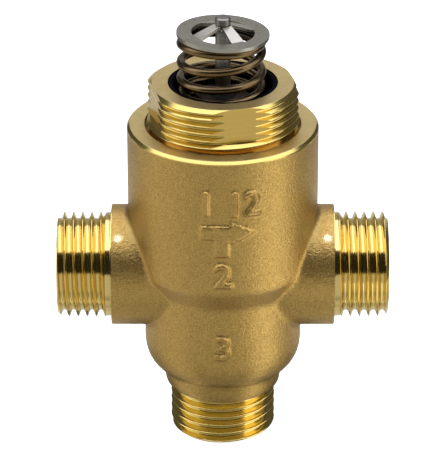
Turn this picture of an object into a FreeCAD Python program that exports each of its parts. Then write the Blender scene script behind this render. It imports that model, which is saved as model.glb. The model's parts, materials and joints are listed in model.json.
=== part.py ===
"""Three-way control valve: a cast brass body with three half-inch pipe ports, a threaded neck
for an actuator, and a sprung stem that carries a double plug between two seats.

Millimetres. The origin is the centre of the bottom port's end face, +Z runs up the stem,
X runs along the side ports and the cast marks face -Y.
"""
import FreeCAD
import Part
import math
import os

# Pipe ports, male parallel pipe thread of half an inch
pipe_thread_diameter = 20.955
pipe_thread_pitch = 1.814
pipe_thread_depth = 1.162
pipe_end_chamfer = 0.75
pipe_relief_width = 1.3
pipe_relief_depth = 0.35
pipe_bore_diameter = 15.0
side_thread_length = 10.7
side_collar_length = 3.35
side_collar_step = 1.5725
collar_edge_chamfer = 0.3
bottom_thread_length = 9.9
bottom_collar_step = 1.1725
bottom_collar_height = 3.7
axis_above_collar = 22.0

# Cast body
upper_body_diameter = 37.6
upper_body_rise = 2.4
lower_body_diameter = 31.3
lower_body_drop = 2.6
lower_body_round = 5.3
lower_body_underside_angle = 16.0
body_step_round = 2.0
cast_fillet = 1.8
shoulder_rise = 30.9
shoulder_chamfer = 0.9

# Neck for the actuator, metric thread with four milled flats
neck_thread_diameter = 30.0
neck_thread_pitch = 1.5
neck_thread_depth = 0.92
neck_height = 8.7
neck_top_chamfer = 0.9
neck_bore_diameter = 21.5
neck_flat_depth = 1.3
neck_flat_count = 4
neck_flat_turn = 13.5
neck_ledge_height = 0.6
undercut_reach = 1.4
undercut_mouth_margin = 0.4
undercut_depth = 0.7
undercut_height = 1.4

# Chambers and seats inside the body
bridge_wall = 2.3
chamber_headroom = 1.5
lower_seat_thickness = 4.0
upper_body_wall = 4.0
upper_chamber_height = 9.0
bonnet_ledge_width = 0.95
throat_height = 1.5
passage_half_angle = 50.0

# Upper seat ring and its seal
seat_ring_passing_gap = 0.2
seat_ledge_width = 0.9
seat_ring_height = 3.0
seat_nose_height = 0.8
seat_seal_thickness = 0.5
seat_slot_width = 2.4
seat_slot_depth = 1.0
seat_recess_depth = 2.7

# Cup in the neck, with the stem seals
bonnet_seal_thickness = 0.8
bonnet_flange_height = 4.0
bonnet_spigot_length = 2.5
bonnet_wall = 1.1
bonnet_rim_drop = 1.2
bonnet_boss_gap = 0.85
bonnet_boss_height = 7.0
bonnet_floor = 1.5
seal_ring_width = 2.0
guide_bush_height = 4.0
stem_seal_height = 1.5
seal_spacer_height = 1.5
gland_head_height = 2.2
gland_across_flats = 9.4
wiper_width = 1.1
wiper_recess = 1.0
wiper_height = 1.4

# Stem, spring and spring retainer
stem_diameter = 3.0
stem_thread_diameter = 2.4
stem_head_height = 1.6
stem_groove_depth = 0.4
stem_end_chamfer = 0.25
stem_stroke = 4.0
spring_gap = 0.85
spring_wire = 1.7
spring_turns = 5.4
spring_end_angle = -24.0
spring_washer_thickness = 0.5
retainer_overhang = 0.3
retainer_lip = 0.9
retainer_thickness = 0.67
retainer_rise = 10.4
spoke_count = 4
spoke_angle = -60.0
spoke_width = 2.6
spoke_tip_width = 2.0
spoke_rise = 1.6

# Double plug
plug_side_gap = 1.0
plug_seat_overlap = 1.7
plug_disc_thickness = 2.0
plug_seal_thickness = 1.5
plug_hub_diameter = 7.0
plug_hub_rise = 2.0
plug_spacer_diameter = 5.6
plug_washer_diameter = 6.4
plug_washer_thickness = 0.5
plug_nut_across_flats = 5.0
plug_nut_height = 2.0
stem_end_rise = 0.5

# Raised cast marks on the front
mark_relief = 0.35
mark_sink = 0.4
mark_stroke = 0.85
digit_height = 5.0
digit_width = 3.4
digit_gap = 0.9
side_mark_rise = 22.0
left_mark_offset = -3.2
right_mark_offset = 4.6
low_mark_rise = 6.7
cavity_mark_drop = 10.9
arrow_rise = 15.9
arrow_bar_length = 6.1
arrow_bar_height = 2.6
arrow_head_length = 4.6
arrow_head_height = 4.4
arrow_stem_width = 2.5
arrow_stem_length = 4.9
arrow_offset = 1.7

# Clearances
fit_gap = 0.05
seat_gap = 0.05

# Diameters and lengths that follow from the sizes above
side_collar_diameter = pipe_thread_diameter + 2 * side_collar_step
bottom_collar_diameter = pipe_thread_diameter + 2 * bottom_collar_step
side_reach = upper_body_diameter / 2 + side_collar_length + side_thread_length
upper_chamber_diameter = upper_body_diameter - 2 * upper_body_wall
neck_flat_apothem = neck_thread_diameter / 2 - neck_flat_depth
undercut_diameter = neck_thread_diameter - 2 * undercut_reach
undercut_mouth_diameter = neck_thread_diameter + 2 * undercut_mouth_margin
throat_diameter = neck_bore_diameter - 2 * bonnet_ledge_width
seat_ring_diameter = throat_diameter - 2 * seat_ring_passing_gap
chamber_diameter = seat_ring_diameter - 2 * seat_ledge_width
chamber_height = pipe_bore_diameter + chamber_headroom
plug_diameter = chamber_diameter - 2 * plug_side_gap
seat_bore_diameter = plug_diameter - 2 * plug_seat_overlap
cup_diameter = neck_bore_diameter - 2 * fit_gap
cup_bore_diameter = cup_diameter - 2 * bonnet_wall
spring_diameter = cup_bore_diameter - 2 * spring_gap
spring_bore_diameter = spring_diameter - 2 * spring_wire
bonnet_boss_diameter = spring_bore_diameter - 2 * bonnet_boss_gap
retainer_diameter = spring_diameter + 2 * retainer_overhang
retainer_opening = spring_bore_diameter - 2 * retainer_lip
seal_pocket_diameter = stem_diameter + 2 * seal_ring_width
wiper_diameter = stem_diameter + 2 * wiper_width

# Heights that follow from the sizes above
collar_top = bottom_thread_length + bottom_collar_height
port_axis = collar_top + axis_above_collar
shoulder = port_axis + shoulder_rise
neck_top = shoulder + neck_height
thread_start = shoulder + undercut_height
lower_seat_face = port_axis - pipe_bore_diameter / 2
upper_seat_face = lower_seat_face + chamber_height
seat_ledge = upper_seat_face + seat_nose_height
deck = seat_ledge + seat_recess_depth
chamber_roof = deck + upper_chamber_height
bonnet_ledge = chamber_roof + throat_height
bonnet_flange_bottom = bonnet_ledge + bonnet_seal_thickness
bonnet_flange_top = bonnet_flange_bottom + bonnet_flange_height
boss_top = bonnet_flange_top + bonnet_boss_height
spigot_bottom = bonnet_ledge - bonnet_spigot_length
pocket_floor = spigot_bottom + bonnet_floor
lower_seal_floor = pocket_floor + guide_bush_height
spacer_floor = lower_seal_floor + stem_seal_height
upper_seal_floor = spacer_floor + seal_spacer_height
gland_floor = upper_seal_floor + stem_seal_height
gland_top = boss_top + gland_head_height
spring_floor = bonnet_flange_top + spring_washer_thickness
retainer_top = neck_top + retainer_rise
retainer_bottom = retainer_top - retainer_thickness
spoke_top = retainer_top + spoke_rise
stem_top = spoke_top + stem_head_height
upper_plug_seal_top = upper_seat_face - seat_gap
upper_plug_seal_bottom = upper_plug_seal_top - plug_seal_thickness
upper_plug_bottom = upper_plug_seal_bottom - plug_disc_thickness
hub_top = upper_plug_seal_top + plug_hub_rise
lower_plug_seal_bottom = lower_seat_face + stem_stroke + seat_gap
lower_plug_bottom = lower_plug_seal_bottom + plug_seal_thickness
lower_plug_top = lower_plug_bottom + plug_disc_thickness
hub_bottom = lower_plug_seal_bottom - plug_hub_rise
plug_nut_top = hub_bottom - plug_washer_thickness
plug_nut_bottom = plug_nut_top - plug_nut_height
stem_bottom = plug_nut_bottom - stem_end_rise

# Radii that several pieces share
guide_radius = stem_diameter / 2 + fit_gap
thread_hole_radius = stem_thread_diameter / 2 + fit_gap
neck_bore_radius = neck_bore_diameter / 2
cup_radius = cup_diameter / 2
cup_bore_radius = cup_bore_diameter / 2
pocket_radius = seal_pocket_diameter / 2
seat_bore_radius = seat_bore_diameter / 2
passage_inner_radius = chamber_diameter / 2 + bridge_wall

UP = FreeCAD.Vector(0, 0, 1)
ORIGIN = FreeCAD.Vector(0, 0, 0)


def point(radius, height):
    """A point of the XZ plane."""
    return FreeCAD.Vector(radius, 0, height)


def corner_ends(before, corner, after):
    """Start, middle and end of the arc that rounds a corner, no larger than its sides have room for."""
    here = point(corner[0], corner[1])
    if len(corner) == 2:
        return here, None, here
    back = point(before[0], before[1]) - here
    ahead = point(after[0], after[1]) - here
    back_room = back.Length / (len(before) - 1)
    ahead_room = ahead.Length / (len(after) - 1)
    back.normalize()
    ahead.normalize()
    half_angle = back.getAngle(ahead) / 2
    reach = min(corner[2] / math.tan(half_angle), back_room, ahead_room)
    radius = reach * math.tan(half_angle)
    middle = (back + ahead).normalize() * (radius / math.sin(half_angle) - radius)
    return here + back * reach, here + middle, here + ahead * reach


def rounded_outline(corners):
    """Closed outline in the XZ plane. Each corner is (x, z) or (x, z, rounding radius)."""
    count = len(corners)
    ends = []
    for index, corner in enumerate(corners):
        ends.append(corner_ends(corners[index - 1], corner, corners[(index + 1) % count]))
    edges = []
    for index, (start, middle, finish) in enumerate(ends):
        if middle is not None:
            edges.append(Part.Arc(start, middle, finish).toShape())
        following = ends[(index + 1) % count][0]
        if (following - finish).Length > 1e-6:
            edges.append(Part.makeLine(finish, following))
    return Part.Wire(edges)


def turned(corners):
    """A solid turned about the stem axis from its half outline."""
    return Part.Face(rounded_outline(corners)).revolve(ORIGIN, UP, 360)


def ring(outer_radius, inner_radius, bottom, top):
    """A plain ring about the stem axis."""
    return turned([(inner_radius, bottom), (outer_radius, bottom), (outer_radius, top), (inner_radius, top)])


def rod(radius, bottom, top):
    """A plain round bar about the stem axis."""
    return Part.makeCylinder(radius, top - bottom, point(0, bottom))


def hexagon(across_flats, bottom, top):
    """A six-sided bar about the stem axis."""
    corner_radius = across_flats / math.sqrt(3)
    corners = []
    for step in range(7):
        angle = math.radians(60 * step)
        corners.append(FreeCAD.Vector(corner_radius * math.cos(angle), corner_radius * math.sin(angle), bottom))
    return Part.Face(Part.makePolygon(corners)).extrude(UP * (top - bottom))


def thread_corners(start, finish, crest_radius, pitch, depth):
    """Outline corners of a male thread between two heights, as rings of the thread's pitch."""
    groove_half = 0.32 * pitch
    grooves = int((finish - start) / pitch)
    corners = []
    for turn in range(grooves):
        centre = start + pitch * (turn + 0.5)
        corners.append((crest_radius, centre - groove_half))
        corners.append((crest_radius - depth, centre))
        corners.append((crest_radius, centre + groove_half))
    return corners


def port_thread_corners(length):
    """Outline of a port from its end face at height zero to the relief beside its collar."""
    crest = pipe_thread_diameter / 2
    relief_radius = crest - pipe_relief_depth
    relief_start = length - pipe_relief_width
    corners = [(crest - pipe_end_chamfer, 0), (crest, pipe_end_chamfer)]
    corners += thread_corners(pipe_end_chamfer, relief_start, crest, pipe_thread_pitch, pipe_thread_depth)
    corners += [(crest, relief_start), (relief_radius, relief_start + pipe_relief_depth), (relief_radius, length)]
    return corners


def central_casting():
    """The upright part of the body: bottom port, two stacked cylinders and the neck."""
    collar_radius = bottom_collar_diameter / 2
    lower_radius = lower_body_diameter / 2
    upper_radius = upper_body_diameter / 2
    neck_radius = neck_thread_diameter / 2
    undercut_radius = undercut_diameter / 2
    undercut_mouth_radius = undercut_mouth_diameter / 2
    undercut_floor = shoulder - undercut_depth
    underside_rise = (lower_radius - collar_radius) * math.tan(math.radians(lower_body_underside_angle))
    corners = [(0, 0)]
    corners += port_thread_corners(bottom_thread_length)
    corners += [
        (collar_radius - collar_edge_chamfer, bottom_thread_length),
        (collar_radius, bottom_thread_length + collar_edge_chamfer),
        (collar_radius, collar_top),
        (lower_radius, collar_top + underside_rise, lower_body_round),
        (lower_radius, port_axis - lower_body_drop, body_step_round),
        (upper_radius, port_axis + upper_body_rise, body_step_round),
        (upper_radius, shoulder - shoulder_chamfer),
        (upper_radius - shoulder_chamfer, shoulder),
        (undercut_mouth_radius, shoulder),
        (undercut_mouth_radius - undercut_depth, undercut_floor),
        (undercut_radius, undercut_floor),
        (undercut_radius, thread_start - (neck_radius - undercut_radius)),
        (neck_radius, thread_start),
    ]
    thread_end = neck_top - neck_top_chamfer
    corners += thread_corners(thread_start, thread_end, neck_radius, neck_thread_pitch, neck_thread_depth)
    corners += [(neck_radius, thread_end), (neck_radius - neck_top_chamfer, neck_top), (0, neck_top)]
    return turned(corners)


def side_port(direction):
    """A side port with its round collar, from the stem axis out along +X (1) or -X (-1)."""
    collar_radius = side_collar_diameter / 2
    corners = [(0, 0)]
    corners += port_thread_corners(side_thread_length)
    corners += [
        (collar_radius - collar_edge_chamfer, side_thread_length),
        (collar_radius, side_thread_length + collar_edge_chamfer),
        (collar_radius, side_reach),
        (0, side_reach),
    ]
    port = turned(corners)
    port.rotate(ORIGIN, FreeCAD.Vector(0, 1, 0), -90 * direction)
    port.translate(FreeCAD.Vector(direction * side_reach, 0, port_axis))
    return port


def junction_edges(casting):
    """The edges where the side collars run into the body."""
    collar_radius = side_collar_diameter / 2
    collar_end = side_reach - side_thread_length - 2 * collar_edge_chamfer
    found = []
    for edge in casting.Edges:
        spots = edge.discretize(7)
        on_collar = all(abs(math.hypot(s.y, s.z - port_axis) - collar_radius) < 1e-3 for s in spots)
        inside = all(abs(s.x) < collar_end for s in spots)
        straight = edge.Curve.TypeId == "Part::GeomLine"
        if on_collar and inside and not straight:
            found.append(edge)
    return found


def neck_flats():
    """The pieces milled off the neck, down to the ledge above the undercut."""
    reach = neck_thread_diameter / 2 - neck_flat_apothem
    width = neck_thread_diameter
    floor = thread_start + neck_ledge_height
    flats = []
    for turn in range(neck_flat_count):
        flat = Part.makeBox(width, 2 * reach, neck_top - floor + 1, FreeCAD.Vector(-width / 2, 0, floor))
        flat.translate(FreeCAD.Vector(0, -neck_flat_apothem - 2 * reach, 0))
        flat.rotate(ORIGIN, UP, neck_flat_turn + 360 / neck_flat_count * turn)
        flats.append(flat)
    return flats


def side_bore(direction, inner_end):
    """The round bore of a side port, from its end face in to a distance from the stem axis."""
    length = side_reach - inner_end
    start = FreeCAD.Vector(direction * side_reach, 0, port_axis)
    return Part.makeCylinder(pipe_bore_diameter / 2, length, start, FreeCAD.Vector(-direction, 0, 0))


def rising_passage():
    """The curved way from the left port up past the bridge wall to the upper chamber."""
    outer = upper_chamber_diameter / 2
    face = Part.Face(Part.makePolygon([
        point(passage_inner_radius, port_axis),
        point(outer, port_axis),
        point(outer, deck + upper_chamber_height / 2),
        point(passage_inner_radius, deck + upper_chamber_height / 2),
        point(passage_inner_radius, port_axis),
    ]))
    face.rotate(ORIGIN, UP, 180 - passage_half_angle)
    return face.revolve(ORIGIN, UP, 2 * passage_half_angle)


def inner_spaces():
    """Everything hollow in the body."""
    upper_radius = upper_chamber_diameter / 2
    pipe_radius = pipe_bore_diameter / 2
    return [
        rod(pipe_radius, 0, lower_seat_face - lower_seat_thickness),
        rod(seat_bore_radius, lower_seat_face - lower_seat_thickness, lower_seat_face),
        rod(chamber_diameter / 2, lower_seat_face, seat_ledge),
        rod(seat_ring_diameter / 2 + fit_gap, seat_ledge, deck),
        rod(upper_radius, deck, chamber_roof),
        rod(throat_diameter / 2, chamber_roof, bonnet_ledge),
        rod(neck_bore_radius, bonnet_ledge, neck_top),
        side_bore(1, 0),
        side_bore(-1, passage_inner_radius),
        rising_passage(),
    ]


def plan(x, z):
    """A point of a mark, in front of the body."""
    return FreeCAD.Vector(x, -upper_body_diameter, z)


def raised(wire):
    """A mark's outline carried straight back through the body."""
    return Part.Face(wire).extrude(FreeCAD.Vector(0, upper_body_diameter, 0))


def stroke(start_x, start_z, end_x, end_z):
    """A round-ended straight stroke."""
    start = plan(start_x, start_z)
    end = plan(end_x, end_z)
    along = (end - start).normalize() * (mark_stroke / 2)
    side = FreeCAD.Vector(-along.z, 0, along.x)
    return raised(Part.Wire([
        Part.makeLine(start + side, end + side),
        Part.Arc(end + side, end + along, end - side).toShape(),
        Part.makeLine(end - side, start - side),
        Part.Arc(start - side, start - along, start + side).toShape(),
    ]))


def curved_stroke(centre_x, centre_z, radius, first_angle, last_angle):
    """A round-ended stroke along an arc, with angles counted from +X towards +Z."""
    def spot(distance, angle):
        turn = math.radians(angle)
        return plan(centre_x + distance * math.cos(turn), centre_z + distance * math.sin(turn))

    half = mark_stroke / 2
    middle = (first_angle + last_angle) / 2
    cap = math.degrees(half / radius)
    return raised(Part.Wire([
        Part.Arc(spot(radius + half, first_angle), spot(radius + half, middle),
                 spot(radius + half, last_angle)).toShape(),
        Part.Arc(spot(radius + half, last_angle), spot(radius, last_angle + cap),
                 spot(radius - half, last_angle)).toShape(),
        Part.Arc(spot(radius - half, last_angle), spot(radius - half, middle),
                 spot(radius - half, first_angle)).toShape(),
        Part.Arc(spot(radius - half, first_angle), spot(radius, first_angle - cap),
                 spot(radius + half, first_angle)).toShape(),
    ]))


def digit_one(x, z):
    """A figure 1 centred on a point of the front."""
    half_height = (digit_height - mark_stroke) / 2
    flag = digit_width / 3
    return [
        stroke(x, z - half_height, x, z + half_height),
        stroke(x, z + half_height, x - flag, z + half_height - flag),
    ]


def digit_two(x, z):
    """A figure 2 centred on a point of the front."""
    half_height = (digit_height - mark_stroke) / 2
    half_width = (digit_width - mark_stroke) / 2
    bowl = z + half_height - half_width
    lean = math.radians(-35)
    return [
        curved_stroke(x, bowl, half_width, -35, 170),
        stroke(x + half_width * math.cos(lean), bowl + half_width * math.sin(lean), x - half_width, z - half_height),
        stroke(x - half_width, z - half_height, x + half_width, z - half_height),
    ]


def digit_three(x, z):
    """A figure 3 centred on a point of the front."""
    radius = (digit_height - mark_stroke) / 4
    return [
        curved_stroke(x, z + radius, radius, -90, 150),
        curved_stroke(x, z - radius, radius, -150, 90),
    ]


def flow_arrow():
    """A T-shaped flow arrow: in from the left and from below, out to the right."""
    z = port_axis + arrow_rise
    neck = arrow_offset
    tail = neck - arrow_bar_length
    half_bar = arrow_bar_height / 2
    half_head = arrow_head_height / 2
    stem_right = neck - mark_stroke
    stem_left = stem_right - arrow_stem_width
    stem_foot = z - arrow_stem_length
    outline = [
        plan(tail, z + half_bar),
        plan(neck, z + half_bar),
        plan(neck, z + half_head),
        plan(neck + arrow_head_length, z),
        plan(neck, z - half_head),
        plan(neck, z - half_bar),
        plan(stem_right, z - half_bar),
        plan(stem_right, stem_foot),
        plan(stem_left, stem_foot),
        plan(stem_left, z - half_bar),
        plan(tail, z - half_bar),
    ]
    return [raised(Part.makePolygon(outline + outline[:1]))]


def skin(radius, bottom, top):
    """The thin layer at the body's surface that the marks stand in."""
    return ring(radius + mark_relief, radius - mark_sink, bottom, top)


def cast_marks():
    """Port numbers, flow arrow and cavity number, standing proud of the front."""
    step = (digit_width + digit_gap) / 2
    high = port_axis + side_mark_rise
    upper_marks = digit_one(left_mark_offset, high)
    upper_marks += digit_one(right_mark_offset - step, high)
    upper_marks += digit_two(right_mark_offset + step, high)
    upper_marks += digit_two(0, port_axis + low_mark_rise)
    upper_marks += flow_arrow()
    lower_marks = digit_three(0, port_axis - cavity_mark_drop)
    upper_skin = skin(upper_body_diameter / 2, port_axis + upper_body_rise, shoulder - shoulder_chamfer)
    lower_skin = skin(lower_body_diameter / 2, collar_top, port_axis - lower_body_drop)
    marks = [mark.common(upper_skin) for mark in upper_marks]
    marks += [mark.common(lower_skin) for mark in lower_marks]
    return marks


def valve_body():
    """The brass casting, machined at its ports, neck and seats."""
    casting = central_casting().fuse([side_port(1), side_port(-1)])
    casting = casting.makeFillet(cast_fillet, junction_edges(casting))
    casting = casting.fuse(cast_marks())
    return casting.cut(neck_flats() + inner_spaces()).removeSplitter()


def upper_seat_ring():
    """Screwed-in ring whose lower nose is the upper seat."""
    bottom = seat_ledge + seat_seal_thickness
    top = bottom + seat_ring_height
    radius = seat_ring_diameter / 2
    nose_radius = chamber_diameter / 2 - fit_gap
    blank = turned([
        (seat_bore_radius, upper_seat_face),
        (nose_radius, upper_seat_face),
        (nose_radius, bottom),
        (radius, bottom),
        (radius, top),
        (seat_bore_radius, top),
    ])
    slot = Part.makeBox(seat_ring_diameter, seat_slot_width, seat_slot_depth)
    slot.translate(FreeCAD.Vector(-radius, -seat_slot_width / 2, top - seat_slot_depth))
    return blank.cut(slot)


def seat_ring_seal():
    """Flat seal between the seat ring and the bridge wall."""
    return ring(seat_ring_diameter / 2, chamber_diameter / 2, seat_ledge, seat_ledge + seat_seal_thickness)


def bonnet_seal():
    """Flat seal between the cup and its ledge in the neck."""
    return ring(cup_radius, throat_diameter / 2, bonnet_ledge, bonnet_flange_bottom)


def bonnet_cup():
    """Moulded cup that closes the neck, with a boss for the stem seals."""
    spigot_radius = throat_diameter / 2 - fit_gap
    boss_radius = bonnet_boss_diameter / 2
    rim = neck_top - bonnet_rim_drop
    return turned([
        (guide_radius, spigot_bottom),
        (spigot_radius, spigot_bottom),
        (spigot_radius, bonnet_flange_bottom),
        (cup_radius, bonnet_flange_bottom),
        (cup_radius, rim),
        (cup_bore_radius, rim),
        (cup_bore_radius, bonnet_flange_top),
        (boss_radius, bonnet_flange_top),
        (boss_radius, boss_top),
        (pocket_radius, boss_top),
        (pocket_radius, pocket_floor),
        (guide_radius, pocket_floor),
    ])


def pocket_ring(floor, height):
    """A ring round the stem in the seal pocket."""
    return ring(pocket_radius - fit_gap, guide_radius, floor, floor + height)


def gland_nut():
    """Nut that closes the seal pocket, with a recess for the wiper."""
    shank = rod(pocket_radius - fit_gap, gland_floor, boss_top)
    nut = shank.fuse(hexagon(gland_across_flats, boss_top, gland_top)).removeSplitter()
    recess = rod(wiper_diameter / 2 + fit_gap, gland_top - wiper_recess, gland_top)
    return nut.cut([rod(guide_radius, gland_floor, gland_top), recess])


def stem_wiper():
    """Scraper ring with a sloped top, standing in the gland nut."""
    bottom = gland_top - wiper_recess
    radius = wiper_diameter / 2
    lip = (radius + guide_radius) / 2
    return turned([
        (guide_radius, bottom),
        (radius, bottom),
        (radius, gland_top),
        (lip, bottom + wiper_height),
        (guide_radius, bottom + wiper_height),
    ])


def spring_washer():
    """Washer that the spring stands on."""
    inner = bonnet_boss_diameter / 2 + fit_gap
    return ring(cup_bore_radius - fit_gap, inner, bonnet_flange_top, spring_floor)


def coil_path(pitch, radius):
    """The centre line of the spring, turn by turn from height zero."""
    turns = []
    for turn in range(math.ceil(spring_turns)):
        share = min(1, spring_turns - turn)
        helix = Part.makeHelix(pitch, pitch * share, radius)
        helix.translate(point(0, pitch * turn))
        turns.append(helix.Edges[0])
    return Part.Wire(turns)


def return_spring():
    """Round-wire spring with both ends ground flat."""
    height = retainer_bottom - spring_floor
    coil_radius = (spring_diameter - spring_wire) / 2
    pitch = height / spring_turns
    travel = FreeCAD.Vector(0, 2 * math.pi * coil_radius, pitch)
    section = Part.Wire(Part.makeCircle(spring_wire / 2, FreeCAD.Vector(coil_radius, 0, 0), travel))
    coil = coil_path(pitch, coil_radius).makePipeShell([section], True, True)
    coil = coil.common(rod(spring_diameter, 0, height))
    coil.rotate(ORIGIN, UP, spring_end_angle - 360 * spring_turns)
    coil.translate(point(0, spring_floor))
    return coil


def stem():
    """Rod with a groove for the spokes and a thinner lower end for the plug."""
    radius = stem_diameter / 2
    thin_radius = stem_thread_diameter / 2
    groove_radius = radius - stem_groove_depth
    groove_bottom = spoke_top - retainer_thickness - fit_gap
    groove_top = spoke_top + fit_gap
    return turned([
        (0, stem_bottom),
        (thin_radius - stem_end_chamfer, stem_bottom),
        (thin_radius, stem_bottom + stem_end_chamfer),
        (thin_radius, hub_top),
        (radius, hub_top),
        (radius, groove_bottom),
        (groove_radius, groove_bottom),
        (groove_radius, groove_top),
        (radius, groove_top),
        (radius, stem_top - stem_end_chamfer),
        (radius - stem_end_chamfer, stem_top),
        (0, stem_top),
    ])


def spoke():
    """One bent-up spoke along +X, from inside the disc to the stem's groove."""
    tip = stem_diameter / 2 - stem_groove_depth + fit_gap
    landing = stem_diameter / 2 + fit_gap
    root = retainer_opening / 2
    foot = root + retainer_thickness
    strip = Part.Face(Part.makePolygon([
        point(foot, retainer_bottom),
        point(foot, retainer_top),
        point(root, retainer_top),
        point(landing, spoke_top),
        point(tip, spoke_top),
        point(tip, spoke_top - retainer_thickness),
        point(landing, spoke_top - retainer_thickness),
        point(root, retainer_bottom),
        point(foot, retainer_bottom),
    ])).extrude(FreeCAD.Vector(0, spoke_width, 0))
    strip.translate(FreeCAD.Vector(0, -spoke_width / 2, 0))
    shoulder_reach = tip + spoke_width / 2
    taper = Part.Face(Part.makePolygon([
        FreeCAD.Vector(tip, -spoke_tip_width / 2, retainer_bottom),
        FreeCAD.Vector(shoulder_reach, -spoke_width / 2, retainer_bottom),
        FreeCAD.Vector(foot, -spoke_width / 2, retainer_bottom),
        FreeCAD.Vector(foot, spoke_width / 2, retainer_bottom),
        FreeCAD.Vector(shoulder_reach, spoke_width / 2, retainer_bottom),
        FreeCAD.Vector(tip, spoke_tip_width / 2, retainer_bottom),
        FreeCAD.Vector(tip, -spoke_tip_width / 2, retainer_bottom),
    ])).extrude(UP * (spoke_top - retainer_bottom))
    return strip.common(taper)


def spring_retainer():
    """Stamped disc with bent-up spokes that grip the stem."""
    disc = ring(retainer_diameter / 2, retainer_opening / 2, retainer_bottom, retainer_top)
    spokes = []
    for turn in range(spoke_count):
        arm = spoke()
        arm.rotate(ORIGIN, UP, spoke_angle + 360 / spoke_count * turn)
        spokes.append(arm)
    return disc.fuse(spokes).removeSplitter()


def upper_plug():
    """Disc under the upper seal, with a hub up through it to the stem's shoulder."""
    return turned([
        (thread_hole_radius, upper_plug_bottom),
        (plug_diameter / 2, upper_plug_bottom),
        (plug_diameter / 2, upper_plug_seal_bottom),
        (plug_hub_diameter / 2, upper_plug_seal_bottom),
        (plug_hub_diameter / 2, hub_top),
        (thread_hole_radius, hub_top),
    ])


def lower_plug():
    """Disc over the lower seal, with a hub down through it."""
    return turned([
        (thread_hole_radius, hub_bottom),
        (plug_hub_diameter / 2, hub_bottom),
        (plug_hub_diameter / 2, lower_plug_bottom),
        (plug_diameter / 2, lower_plug_bottom),
        (plug_diameter / 2, lower_plug_top),
        (thread_hole_radius, lower_plug_top),
    ])


def plug_seal(bottom):
    """Rubber ring on a plug's hub."""
    return ring(plug_diameter / 2, plug_hub_diameter / 2 + fit_gap, bottom, bottom + plug_seal_thickness)


def plug_nut():
    """Nut on the end of the stem."""
    blank = hexagon(plug_nut_across_flats, plug_nut_bottom, plug_nut_top)
    return blank.cut(rod(thread_hole_radius, plug_nut_bottom, plug_nut_top))


def pieces():
    """Every piece by its name."""
    return {
        "valve_body": valve_body(),
        "upper_seat_ring": upper_seat_ring(),
        "seat_ring_seal": seat_ring_seal(),
        "bonnet_cup": bonnet_cup(),
        "bonnet_seal": bonnet_seal(),
        "guide_bush": pocket_ring(pocket_floor, guide_bush_height),
        "lower_stem_seal": pocket_ring(lower_seal_floor, stem_seal_height),
        "seal_spacer": pocket_ring(spacer_floor, seal_spacer_height),
        "upper_stem_seal": pocket_ring(upper_seal_floor, stem_seal_height),
        "gland_nut": gland_nut(),
        "stem_wiper": stem_wiper(),
        "spring_washer": spring_washer(),
        "return_spring": return_spring(),
        "stem": stem(),
        "spring_retainer": spring_retainer(),
        "upper_plug": upper_plug(),
        "upper_plug_seal": plug_seal(upper_plug_seal_bottom),
        "plug_spacer": ring(plug_spacer_diameter / 2, thread_hole_radius, lower_plug_top, upper_plug_bottom),
        "lower_plug": lower_plug(),
        "lower_plug_seal": plug_seal(lower_plug_seal_bottom),
        "plug_washer": ring(plug_washer_diameter / 2, thread_hole_radius, plug_nut_top, hub_bottom),
        "plug_nut": plug_nut(),
    }


os.makedirs("parts", exist_ok=True)
for name, shape in pieces().items():
    shape.exportStep(f"parts/{name}.step")
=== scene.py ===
"""Scene of the three-way control valve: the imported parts, the dressed body, threads and spring, the finishes,
the studio and the camera. Pieces are modelled in millimetres and brought to metres when they are finished.
"""
import json
import math

import bpy
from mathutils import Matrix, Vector

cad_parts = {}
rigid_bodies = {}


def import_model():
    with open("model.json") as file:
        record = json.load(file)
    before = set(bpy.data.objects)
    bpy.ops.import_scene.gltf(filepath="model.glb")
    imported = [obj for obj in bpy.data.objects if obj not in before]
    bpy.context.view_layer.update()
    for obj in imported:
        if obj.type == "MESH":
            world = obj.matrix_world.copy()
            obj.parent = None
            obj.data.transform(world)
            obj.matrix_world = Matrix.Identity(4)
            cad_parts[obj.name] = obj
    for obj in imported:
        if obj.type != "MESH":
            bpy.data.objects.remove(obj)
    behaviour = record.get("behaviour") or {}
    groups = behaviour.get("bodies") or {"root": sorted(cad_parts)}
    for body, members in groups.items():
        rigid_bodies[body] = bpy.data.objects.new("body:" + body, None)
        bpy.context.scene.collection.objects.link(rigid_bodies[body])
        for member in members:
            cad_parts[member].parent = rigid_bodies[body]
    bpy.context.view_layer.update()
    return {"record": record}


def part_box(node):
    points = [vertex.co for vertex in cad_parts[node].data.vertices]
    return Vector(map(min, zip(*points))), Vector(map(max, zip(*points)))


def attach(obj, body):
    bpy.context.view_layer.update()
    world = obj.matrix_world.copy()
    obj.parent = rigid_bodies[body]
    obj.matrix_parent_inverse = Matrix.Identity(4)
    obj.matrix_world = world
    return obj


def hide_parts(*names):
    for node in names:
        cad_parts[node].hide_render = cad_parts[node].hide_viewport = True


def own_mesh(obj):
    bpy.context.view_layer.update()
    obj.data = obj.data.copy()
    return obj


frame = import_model()

# Lengths below are in millimetres and angles in degrees, unless a comment says otherwise.
# First, a millimetre in metres, and a metre in millimetres
millimetre = 0.001
metre = 1000.0

# Picture and camera
picture_height = 452
camera_distance = 630.0
camera_elevation = 26.5
focal_pixels = 3150.0
aim_point = (-0.26, 0.0, 44.0)
sensor_size = 36.0

# Heights of the body, from the bottom port's end face
port_axis = 35.6
collar_bottom = 9.9
collar_top = 14.0
shoulder = 66.5
neck_top = 75.2

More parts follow.
